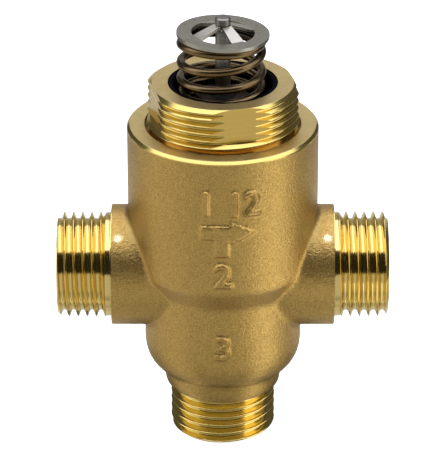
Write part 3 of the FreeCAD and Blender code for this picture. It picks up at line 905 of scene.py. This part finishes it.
def spring_retainer(material):
    """The stamped disc on the spring, with four spokes that run up to the stem."""
    disc = turned("retainer_disc", [
        (retainer_opening, retainer_bottom), (retainer_radius, retainer_bottom), (retainer_radius, retainer_top),
        (retainer_opening, retainer_top),
    ], hollow=True)
    for angle in spoke_angles:
        combine(disc, retainer_spoke(angle), "UNION")
    apply_modifier(
        disc, "BEVEL", width=retainer_edge, segments=2, limit_method="ANGLE",
        angle_limit=math.radians(retainer_edge_angle), loop_slide=False)
    close_up(disc)
    move(disc, (0, 0, -retainer_bottom))
    turn_to(disc, "Y", retainer_tilt)
    move(disc, (0, 0, retainer_bottom))
    return finished(disc, "moving_stem", "stainless_steel", material, "spring_retainer", angle=retainer_smoothing)


def new_group(name, inputs, outputs):
    """An empty shader node group; inputs are pairs of name and kind, and all outputs are values."""
    kinds = {"value": "NodeSocketFloat", "vector": "NodeSocketVector"}
    group = bpy.data.node_groups.new(name, "ShaderNodeTree")
    for label, kind in inputs:
        group.interface.new_socket(name=label, in_out="INPUT", socket_type=kinds[kind])
    for label in outputs:
        group.interface.new_socket(name=label, in_out="OUTPUT", socket_type=kinds["value"])
    entry = group.nodes.new("NodeGroupInput")
    leave = group.nodes.new("NodeGroupOutput")
    return group, entry.outputs, leave.inputs


def feed(tree, value, socket):
    """Give a socket its value: a number, a colour or another socket."""
    if isinstance(value, tuple):
        socket.default_value = (*value, 1)
    elif isinstance(value, (int, float)):
        socket.default_value = value
    else:
        tree.links.new(value, socket)


def arithmetic(tree, operation, *values):
    """A math node on one or two values."""
    node = tree.nodes.new("ShaderNodeMath")
    node.operation = operation
    for socket, value in zip(node.inputs, values):
        feed(tree, value, socket)
    return node.outputs[0]


def both(tree, first, second):
    """Two values multiplied, which is where two masks overlap."""
    return arithmetic(tree, "MULTIPLY", first, second)


def coordinates(tree, place):
    """The X, Y and Z of a place."""
    split = tree.nodes.new("ShaderNodeSeparateXYZ")
    tree.links.new(place, split.inputs["Vector"])
    return split.outputs


def noise(tree, place, scale, detail=2.0, roughness=0.5):
    """A noise value on a place."""
    node = tree.nodes.new("ShaderNodeTexNoise")
    node.inputs["Detail"].default_value = detail
    node.inputs["Roughness"].default_value = roughness
    feed(tree, scale, node.inputs["Scale"])
    tree.links.new(place, node.inputs["Vector"])
    return node.outputs["Fac"]


def spread(tree, value, low, high, from_low=0.3, from_high=0.7):
    """A value taken from one range to another; the first is the middle of a noise unless it is given."""
    node = tree.nodes.new("ShaderNodeMapRange")
    node.inputs["From Min"].default_value = from_low
    node.inputs["From Max"].default_value = from_high
    node.inputs["To Min"].default_value = low
    node.inputs["To Max"].default_value = high
    tree.links.new(value, node.inputs["Value"])
    return node.outputs["Result"]


def band(tree, value, low, high, edge):
    """One where a value lies between two limits, with soft edges."""
    rising = spread(tree, value, 0.0, 1.0, low - edge, low + edge)
    falling = spread(tree, value, 1.0, 0.0, high - edge, high + edge)
    return both(tree, rising, falling)


def mixed(tree, mask, first, second):
    """Two colours mixed by a mask."""
    node = tree.nodes.new("ShaderNodeMix")
    node.data_type = "RGBA"
    for label, value in (("Factor", mask), ("A", first), ("B", second)):
        feed(tree, value, node.inputs[label])
    return node.outputs["Result"]


def skin_grain_group():
    """Uneven skin: a sandy height, a slow mottle and a fine speckle."""
    group, entry, leave = new_group(
        "skin_grain", [("Place", "vector"), ("Grain", "value"), ("Mottle", "value")],
        ["Height", "Mottle", "Speckle"])
    place = entry["Place"]
    fine = noise(group, place, entry["Grain"], roughness=0.6)
    coarse = noise(group, place, both(group, entry["Grain"], 0.45))
    group.links.new(arithmetic(group, "ADD", fine, both(group, coarse, 0.8)), leave["Height"])
    slow = noise(group, place, entry["Mottle"], detail=4.0)
    group.links.new(spread(group, slow, 0, 1), leave["Mottle"])
    dots = noise(group, place, both(group, entry["Grain"], 1.3), roughness=0.7)
    group.links.new(spread(group, dots, 0, 1, *speckle_heights), leave["Speckle"])
    return group


def tool_lines_group():
    """Fine lines left by a turning tool, along one coordinate."""
    group, entry, leave = new_group(
        "tool_lines", [("Along", "value"), ("Fineness", "value")], ["Lines", "Streaks"])
    for label, factor in (("Lines", 1.0), ("Streaks", 0.16)):
        node = group.nodes.new("ShaderNodeTexNoise")
        node.noise_dimensions = "1D"
        node.inputs["Detail"].default_value = 2.0
        group.links.new(entry["Along"], node.inputs["W"])
        group.links.new(both(group, entry["Fineness"], factor), node.inputs["Scale"])
        group.links.new(node.outputs["Fac"], leave[label])
    return group


def from_axis_group():
    """Distance from an axis through two coordinates, in millimetres."""
    group, entry, leave = new_group("from_axis", [("First", "value"), ("Second", "value")], ["Radius"])
    squares = []
    for label in ("First", "Second"):
        size = both(group, entry[label], metre)
        squares.append(both(group, size, size))
    group.links.new(arithmetic(group, "SQRT", arithmetic(group, "ADD", *squares)), leave["Radius"])
    return group


def use_group(tree, group, **values):
    """Place a node group with these inputs."""
    node = tree.nodes.new("ShaderNodeGroup")
    node.node_tree = group
    for label, value in values.items():
        feed(tree, value, node.inputs[label])
    return node.outputs


def new_finish(name, metallic=1.0):
    """A material; returns it with its node tree, its shader's inputs and its object coordinates."""
    material = bpy.data.materials.new(name)
    material.use_nodes = True
    tree = material.node_tree
    inputs = tree.nodes["Principled BSDF"].inputs
    inputs["Metallic"].default_value = metallic
    place = tree.nodes.new("ShaderNodeTexCoord").outputs["Object"]
    return material, tree, inputs, place


def surfaced(tree, inputs, tone, roughness, height, strength, distance):
    """Drive a shader's colour and roughness, and its normal by a height of this distance in metres."""
    tree.links.new(tone, inputs["Base Color"])
    tree.links.new(roughness, inputs["Roughness"])
    bump = tree.nodes.new("ShaderNodeBump")
    bump.inputs["Strength"].default_value = strength
    bump.inputs["Distance"].default_value = distance
    tree.links.new(height, bump.inputs["Height"])
    tree.links.new(bump.outputs["Normal"], inputs["Normal"])


def polished_highlight_spots(tree, place, ragged):
    """Mask of the spot on the upper front of each side collar that is smoother and painted with a highlight."""
    axes = coordinates(tree, place)
    rise = math.radians(spot_rise)
    spot = (
        spot_across, -side_collar_radius * math.cos(rise), port_axis + side_collar_radius * math.sin(rise))
    distance = None
    for axis, middle in zip("XYZ", spot):
        coordinate = both(tree, axes[axis], metre)
        if axis == "X":
            coordinate = arithmetic(tree, "ABSOLUTE", coordinate)
        offset = arithmetic(tree, "SUBTRACT", coordinate, middle)
        square = both(tree, offset, offset)
        distance = square if distance is None else arithmetic(tree, "ADD", distance, square)
    reach = arithmetic(tree, "ADD", arithmetic(tree, "SQRT", distance), ragged)
    return spread(tree, reach, 1.0, 0.0, *spot_fade)


def pocket_shade_mask(tree, place):
    """Mask of the painted shade in the pockets where the side collars' tops run into the body."""
    axes = coordinates(tree, place)
    across = arithmetic(tree, "ABSOLUTE", both(tree, axes["X"], metre))
    above = arithmetic(tree, "SUBTRACT", both(tree, axes["Z"], metre), port_axis)
    outer = band(tree, across, *pocket_across, pocket_across_edge)
    return both(tree, outer, band(tree, above, *pocket_rise, pocket_rise_edge))


def blasted_brass(groups):
    """Cast brass after blasting: sandy grain, mottled tone, painted shade in the pockets and a painted highlight on
    a smoother spot of each side collar.
    """
    material, tree, inputs, place = new_finish("blasted_brass", cast_metallic)
    skin = use_group(tree, groups["grain"], Place=place, Grain=2700.0, Mottle=300.0)
    highlight_mask = polished_highlight_spots(tree, place, skin["Speckle"])
    mottled = mixed(tree, skin["Mottle"], *cast_tones)
    speckled = mixed(tree, skin["Speckle"], *cast_speckles)
    tone = mixed(tree, cast_speckle_share, mottled, speckled)
    # Painted shade in the pockets beside the side collars' tops
    tone = mixed(tree, pocket_shade_mask(tree, place), tone, pocket_shade_tone)
    # Painted highlight on the smoother spot of each side collar
    tone = mixed(tree, highlight_mask, tone, spot_highlight_tone)
    rough = spread(tree, skin["Speckle"], *cast_roughness, 0.0, 1.0)
    rough = arithmetic(tree, "SUBTRACT", rough, both(tree, highlight_mask, spot_polish))
    surfaced(tree, inputs, tone, rough, skin["Height"], strength=0.9, distance=0.00011)
    return material


def turned_brass(name, groups, along, tones):
    """Bright turned brass between two tones, with tool lines along an axis."""
    material, tree, inputs, place = new_finish(name)
    lines = use_group(tree, groups["lines"], Along=coordinates(tree, place)[along], Fineness=5000.0)
    tone = mixed(tree, spread(tree, lines["Streaks"], 0, 1), *tones)
    rough = spread(tree, lines["Lines"], *pipe_thread_roughness)
    surfaced(tree, inputs, tone, rough, lines["Lines"], strength=0.25, distance=0.00001)
    return material


def flat_mask(tree, axes):
    """Mask of the neck's milled flats: planes at one distance from the axis, square to each other."""
    turn = math.radians(neck_flat_turn)
    reach = None
    for first, second in ((math.cos(turn), math.sin(turn)), (-math.sin(turn), math.cos(turn))):
        along = both(tree, axes["X"], metre * first)
        across = both(tree, axes["Y"], metre * second)
        side = arithmetic(tree, "ABSOLUTE", arithmetic(tree, "ADD", along, across))
        reach = side if reach is None else arithmetic(tree, "MAXIMUM", reach, side)
    return band(tree, reach, neck_flat_apothem - flat_depth, neck_flat_apothem + flat_depth, flat_edge)


def neck_brass(groups):
    """The neck's brass: bright turned threads, painted shade in the undercut, milled flats and satin faced-off
    planes.
    """
    material, tree, inputs, place = new_finish("neck_brass")
    axes = coordinates(tree, place)
    height = both(tree, axes["Z"], metre)
    top = spread(tree, height, 0, 1, neck_top - faced_depth, neck_top - faced_depth / 2)
    ledge = band(tree, height, shoulder - faced_depth, shoulder + faced_rise, faced_edge)
    faced = arithmetic(tree, "MAXIMUM", top, ledge)
    skin = use_group(tree, groups["grain"], Place=place, Grain=2600.0, Mottle=420.0)
    lines = use_group(tree, groups["lines"], Along=axes["Z"], Fineness=5000.0)
    radius = use_group(tree, groups["axis"], First=axes["X"], Second=axes["Y"])["Radius"]
    inside = spread(tree, radius, 1.0, 0.0, *(undercut_mouth - fade for fade in undercut_fade))
    below = spread(
        tree, height, 1.0, 0.0, thread_start - undercut_top_fade[0], thread_start + undercut_top_fade[1])
    bright = mixed(tree, spread(tree, lines["Streaks"], 0, 1), *neck_thread_tones)
    # Painted shade in the undercut, inside its mouth and below where the thread starts
    bright = mixed(tree, both(tree, inside, below), bright, undercut_shade_tone)
    milled = mixed(tree, spread(tree, lines["Lines"], 0, 1), *flat_tones)
    bright = mixed(tree, flat_mask(tree, axes), bright, milled)
    satin = mixed(tree, skin["Mottle"], *faced_tones)
    satin_rough = both(tree, spread(tree, skin["Height"], *faced_roughness, *skin_heights), faced)
    smooth = spread(tree, lines["Lines"], *neck_thread_roughness)
    bright_rough = both(tree, smooth, arithmetic(tree, "SUBTRACT", 1.0, faced))
    rough = arithmetic(tree, "ADD", satin_rough, bright_rough)
    relief = both(tree, skin["Height"], faced)
    surfaced(
        tree, inputs, mixed(tree, faced, bright, satin), rough, relief, strength=0.35, distance=0.00004)
    return material


def rolled_steel(groups):
    """Rolled stainless sheet, with a paler painted sheen on the bent spokes."""
    material, tree, inputs, place = new_finish("rolled_steel")
    skin = use_group(tree, groups["grain"], Place=place, Grain=2500.0, Mottle=300.0)
    axes = coordinates(tree, place)
    radius = use_group(tree, groups["axis"], First=axes["X"], Second=axes["Y"])["Radius"]
    bent = spread(tree, radius, 1.0, 0.0, *(retainer_opening - fade for fade in spoke_fade))
    # Painted sheen on the bent spokes
    tone = mixed(tree, bent, mixed(tree, skin["Mottle"], *sheet_tones), spoke_sheen_tone)
    rough = spread(tree, skin["Height"], *sheet_roughness, *skin_heights)
    surfaced(tree, inputs, tone, rough, skin["Height"], strength=0.15, distance=0.00002)
    return material


def ground_steel(groups):
    """Ground stainless rod, with fine rings round it."""
    material, tree, inputs, place = new_finish("ground_steel")
    lines = use_group(tree, groups["lines"], Along=coordinates(tree, place)["Z"], Fineness=4000.0)
    tone = mixed(tree, spread(tree, lines["Streaks"], 0, 1), *stem_tones)
    rough = spread(tree, lines["Lines"], *stem_roughness)
    surfaced(tree, inputs, tone, rough, lines["Lines"], strength=0.2, distance=0.00001)
    return material


def drawn_wire(groups):
    """Bronze-brown drawn spring wire, with painted shade at the upper back."""
    material, tree, inputs, place = new_finish("drawn_wire")
    skin = use_group(tree, groups["grain"], Place=place, Grain=3200.0, Mottle=420.0)
    axes = coordinates(tree, place)
    behind = spread(tree, both(tree, axes["Y"], metre), 0, 1, *wire_back_fade)
    upper = spread(tree, both(tree, axes["Z"], metre), 0, 1, *(spring_top - drop for drop in wire_back_drop))
    tone = mixed(tree, skin["Mottle"], *wire_tones)
    # Painted shade at the upper back of the spring
    tone = mixed(tree, both(tree, behind, upper), tone, wire_back_shade_tone)
    rough = spread(tree, skin["Height"], *wire_roughness, *wire_heights)
    surfaced(tree, inputs, tone, rough, skin["Height"], strength=0.05, distance=0.00001)
    return material


def gland_shade_brass(groups):
    """Brass of the gland nut deep in the cup, painted dark as shade."""
    material, tree, inputs, place = new_finish("gland_shade_brass")
    skin = use_group(tree, groups["grain"], Place=place, Grain=2600.0, Mottle=500.0)
    # Painted shade deep in the cup
    tone = mixed(tree, skin["Mottle"], *gland_shade_tones)
    rough = spread(tree, skin["Height"], *gland_roughness, *skin_heights)
    surfaced(tree, inputs, tone, rough, skin["Height"], strength=0.2, distance=0.00002)
    return material


def dull(name, groups, base, roughness, grain, gloss=0.25):
    """A moulded plastic or rubber, with a fine uneven skin."""
    material, tree, inputs, place = new_finish(name, metallic=0.0)
    inputs["Specular IOR Level"].default_value = gloss
    skin = use_group(tree, groups["grain"], Place=place, Grain=grain, Mottle=grain / 4)
    paler = tuple(min(1.0, dull_paler * channel) for channel in base)
    tone = mixed(tree, skin["Mottle"], base, paler)
    rough = spread(
        tree, skin["Height"], roughness - dull_roughness_play, roughness + dull_roughness_play, *skin_heights)
    surfaced(tree, inputs, tone, rough, skin["Height"], strength=0.25, distance=0.00003)
    return material


def half_space(tree, direction, normal, edge, offset=0.0):
    """One on the side of a plane that its normal points to, with a soft edge; an offset moves the plane back."""
    dot = tree.nodes.new("ShaderNodeVectorMath")
    dot.operation = "DOT_PRODUCT"
    dot.inputs[1].default_value = normal
    tree.links.new(direction, dot.inputs[0])
    soft = tree.nodes.new("ShaderNodeMapRange")
    soft.interpolation_type = "SMOOTHSTEP"
    soft.inputs["From Min"].default_value = -edge - offset
    soft.inputs["From Max"].default_value = edge - offset
    tree.links.new(dot.outputs["Value"], soft.inputs["Value"])
    return soft.outputs["Result"]


def upright_plane(azimuth):
    """Normal of an upright plane, for what lies beyond this azimuth, counted to the right from the front."""
    turn = math.radians(azimuth)
    return (math.cos(turn), math.sin(turn), 0.0)


def rising_plane(elevation, side):
    """Normal of a plane along X, for what lies above this elevation at the front (-1) or the back (1)."""
    rise = math.radians(elevation)
    return (0.0, -side * math.sin(rise), math.cos(rise))


def opposite(vector):
    """The other way."""
    return tuple(-part for part in vector)


def studio_world():
    """The studio that the metal reflects; to the camera it is plain white.

    A wide soft box hangs overhead and one stands at each side. The front is dark and the back is grey. The floor is
    pale in front and in the middle of the back, and the two corners behind the side boxes are nearly black.
    """
    world = bpy.data.worlds.new("studio")
    bpy.context.scene.world = world
    world.use_nodes = True
    tree = world.node_tree
    tree.nodes.clear()
    direction = tree.nodes.new("ShaderNodeTexCoord").outputs["Generated"]

    def region(*sides):
        """Where all these half spaces overlap, each a normal, a soft edge and perhaps an offset."""
        mask = None
        for side in sides:
            side = half_space(tree, direction, *side)
            mask = side if mask is None else both(tree, mask, side)
        return mask

    def between(start, end, start_edge, end_edge):
        """The half spaces between two azimuths."""
        return (upright_plane(start), start_edge), (opposite(upright_plane(end)), end_edge)

    up = (0.0, 0.0, 1.0)
    back = (0.0, 1.0, 0.0)
    under = (opposite(up), 0.05)
    corner_heights = ((opposite(up), 0.05, corner_top), (up, 0.05, corner_foot))
    near, far = corner_span
    overhead = region((rising_plane(overhead_front, -1), 0.02), (rising_plane(overhead_back, 1), 0.04))
    fields = [
        (region((back, 0.3)), back_light),
        (region((opposite(rising_plane(floor_edge, -1)), 0.015), (opposite(back), 0.35)), floor_light),
        (region(under, (up, 0.1, back_foot), (back, 0.3)), corner_light),
        (region(under, *between(back_floor_azimuth, -back_floor_azimuth, 0.1, 0.1)), back_floor_light),
        (region(*between(*right_span, 0.03, 0.06)), right_light),
        (region(*between(*left_span, 0.10, 0.04)), left_light),
        (overhead, overhead_light),
        (region(*between(near, far, 0.06, 0.06), *corner_heights), corner_light),
        (region(*between(-far, -near, 0.06, 0.06), *corner_heights), corner_light),
    ]
    path = tree.nodes.new("ShaderNodeLightPath")
    seen_by_camera = path.outputs["Is Camera Ray"]
    glow = front_light
    for mask, light in fields + [(seen_by_camera, 1.0)]:
        node = tree.nodes.new("ShaderNodeMix")
        node.data_type = "FLOAT"
        for label, value in (("Factor", mask), ("A", glow), ("B", light)):
            feed(tree, value, node.inputs[label])
        glow = node.outputs["Result"]
    shade = tree.nodes.new("ShaderNodeBackground")
    tree.links.new(glow, shade.inputs["Strength"])
    tinted = both(tree, overhead, arithmetic(tree, "SUBTRACT", 1.0, seen_by_camera))
    tree.links.new(mixed(tree, tinted, (1.0, 1.0, 1.0), overhead_tint), shade.inputs["Color"])
    output = tree.nodes.new("ShaderNodeOutputWorld")
    tree.links.new(shade.outputs["Background"], output.inputs["Surface"])
    world.cycles.sampling_method = "NONE"


def studio_floor():
    """A pale floor that reads white to the camera.

    Reflections see through it to the studio, apart from a shaded strip and foot close under the valve, a lit patch
    at its right front and one at each back corner.
    """
    stand_clear()
    bpy.ops.mesh.primitive_plane_add(size=floor_size)
    floor = bpy.context.object
    floor.name = "floor"
    material = bpy.data.materials.new("pale_floor")
    material.use_nodes = True
    tree = material.node_tree
    shader = tree.nodes["Principled BSDF"]
    shader.inputs["Base Color"].default_value = (floor_tone, floor_tone, floor_tone, 1)
    shader.inputs["Roughness"].default_value = 0.9
    shader.inputs["Emission Color"].default_value = (1, 1, 1, 1)
    path = tree.nodes.new("ShaderNodeLightPath")
    tree.links.new(both(tree, path.outputs["Is Camera Ray"], floor_glow), shader.inputs["Emission Strength"])
    axes = coordinates(tree, tree.nodes.new("ShaderNodeTexCoord").outputs["Object"])
    across = arithmetic(tree, "ABSOLUTE", axes["X"])
    outward = arithmetic(tree, "ABSOLUTE", axes["Y"])
    wedge = arithmetic(tree, "SUBTRACT", across, both(tree, outward, strip_slope))
    strip = both(tree, spread(tree, wedge, 1.0, 0.0, *strip_edge), spread(tree, outward, 1.0, 0.0, *strip_end))
    foot = both(
        tree, spread(tree, across, 1.0, 0.0, *foot_half_width), band(tree, axes["Y"], *foot_span, foot_edge))
    side = both(
        tree, band(tree, axes["X"], *patch_across, patch_across_edge),
        band(tree, axes["Y"], *side_patch_span, side_patch_edge))
    corner = both(
        tree, band(tree, across, *patch_across, patch_across_edge),
        band(tree, axes["Y"], *corner_patch_span, corner_patch_edge))
    layers = (
        (corner, corner_patch_light), (side, side_patch_light), (strip, collar_shade_light), (foot, foot_light))
    mirrored = tree.nodes.new("ShaderNodeBsdfTransparent").outputs["BSDF"]
    for mask, light in layers:
        shade = tree.nodes.new("ShaderNodeEmission")
        shade.inputs["Strength"].default_value = light
        layer = tree.nodes.new("ShaderNodeMixShader")
        tree.links.new(mask, layer.inputs["Fac"])
        tree.links.new(mirrored, layer.inputs[1])
        tree.links.new(shade.outputs["Emission"], layer.inputs[2])
        mirrored = layer.outputs["Shader"]
    choose = tree.nodes.new("ShaderNodeMixShader")
    tree.links.new(path.outputs["Is Glossy Ray"], choose.inputs["Fac"])
    tree.links.new(shader.outputs["BSDF"], choose.inputs[1])
    tree.links.new(mirrored, choose.inputs[2])
    tree.links.new(choose.outputs["Shader"], tree.nodes["Material Output"].inputs["Surface"])
    floor.data.materials.append(material)


def camera():
    """The camera at the photograph's angle."""
    rise = math.radians(camera_elevation)
    back_off = camera_distance * math.cos(rise)
    place = Vector((0, -back_off, port_axis + camera_distance * math.sin(rise))) * millimetre
    data = bpy.data.cameras.new("camera")
    data.sensor_width = sensor_size
    data.lens = focal_pixels / picture_height * sensor_size
    data.clip_start = 0.01
    view = bpy.data.objects.new("camera", data)
    bpy.context.scene.collection.objects.link(view)
    view.location = place
    view.rotation_euler = (Vector(aim_point) * millimetre - place).to_track_quat("-Z", "Y").to_euler()
    bpy.context.scene.camera = view


def dress_nodes(finishes, special):
    """Give every CAD node that stays the finish of its material slot, or its own."""
    for part in frame["record"]["subparts"]:
        node = bpy.data.objects[part["node"]]
        node.data.materials.clear()
        node.data.materials.append(special.get(part["node"], finishes[part["material_slot"]]))


def build():
    """Put the scene together."""
    groups = {"grain": skin_grain_group(), "lines": tool_lines_group(), "axis": from_axis_group()}
    casting_finish = blasted_brass(groups)
    across_ports = turned_brass("turned_brass_across", groups, "X", side_thread_tones)
    upright = turned_brass("turned_brass_upright", groups, "Z", bottom_thread_tones)
    neck_finish = neck_brass(groups)
    sheet = rolled_steel(groups)
    rod_steel = ground_steel(groups)
    wire = drawn_wire(groups)
    # Near-black with almost no gloss: partly the plastic's black, partly painted shade in the neck
    moulding = dull("black_moulding", groups, moulding_black_and_shade_tone, roughness=0.5, grain=1500.0, gloss=0.015)
    finishes = {
        "cast_brass": casting_finish,
        "turned_brass": upright,
        "stainless_steel": sheet,
        "spring_steel": wire,
        "black_moulding": moulding,
        "white_plastic": dull("white_plastic", groups, white_tone, roughness=0.4, grain=1500.0),
        "black_rubber": dull("black_rubber", groups, rubber_tone, roughness=0.6, grain=2200.0),
    }
    dress_nodes(finishes, {"gland_nut": gland_shade_brass(groups)})
    body_casting(casting_finish)
    side_port("left_port", -1, left_crest, across_ports)
    side_port("right_port", 1, right_crest, across_ports)
    bottom_port(upright)
    machined_neck(neck_finish)
    moulded_cup(moulding)
    valve_stem(rod_steel)
    coil_spring(wire)
    spring_retainer(sheet)
    studio_world()
    studio_floor()
    camera()
    bpy.context.scene.view_settings.view_transform = "Standard"


build()
